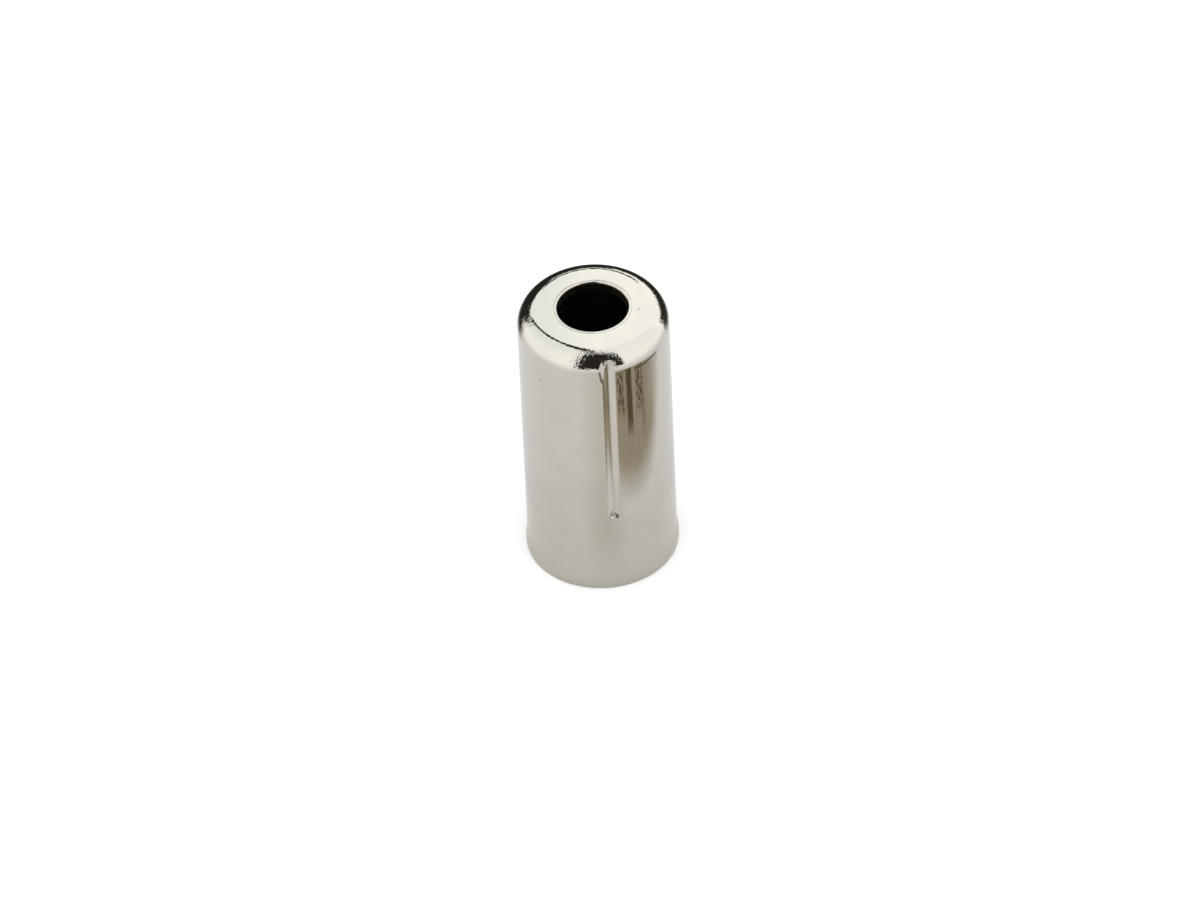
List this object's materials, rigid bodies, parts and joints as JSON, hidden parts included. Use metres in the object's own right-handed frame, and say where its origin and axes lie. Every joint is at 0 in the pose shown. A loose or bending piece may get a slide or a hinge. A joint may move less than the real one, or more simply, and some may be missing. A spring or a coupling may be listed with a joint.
{
  "type": "brake housing end cap",
  "caption": "Drawn metal cup that finishes the end of a brake cable's housing, with a flared mouth, a rounded closed end with a cable hole, and long V-shaped crimps in its side.",
  "frame": {"origin": "centre of the mouth's rim, where the cap stands on its open end", "axes": "+Z along the cap's axis from the open mouth to the closed end, -Y to the front, which has the first crimp a little right of its middle"},
  "size_m": [0.0062, 0.0062, 0.0125],
  "materials": {
    "nickel_plate": "bright nickel plate, polished, with fine handling marks"
  },
  "bodies": {
    "root": {"end_cap_shell": "nickel_plate"}
  },
  "joints": []
}
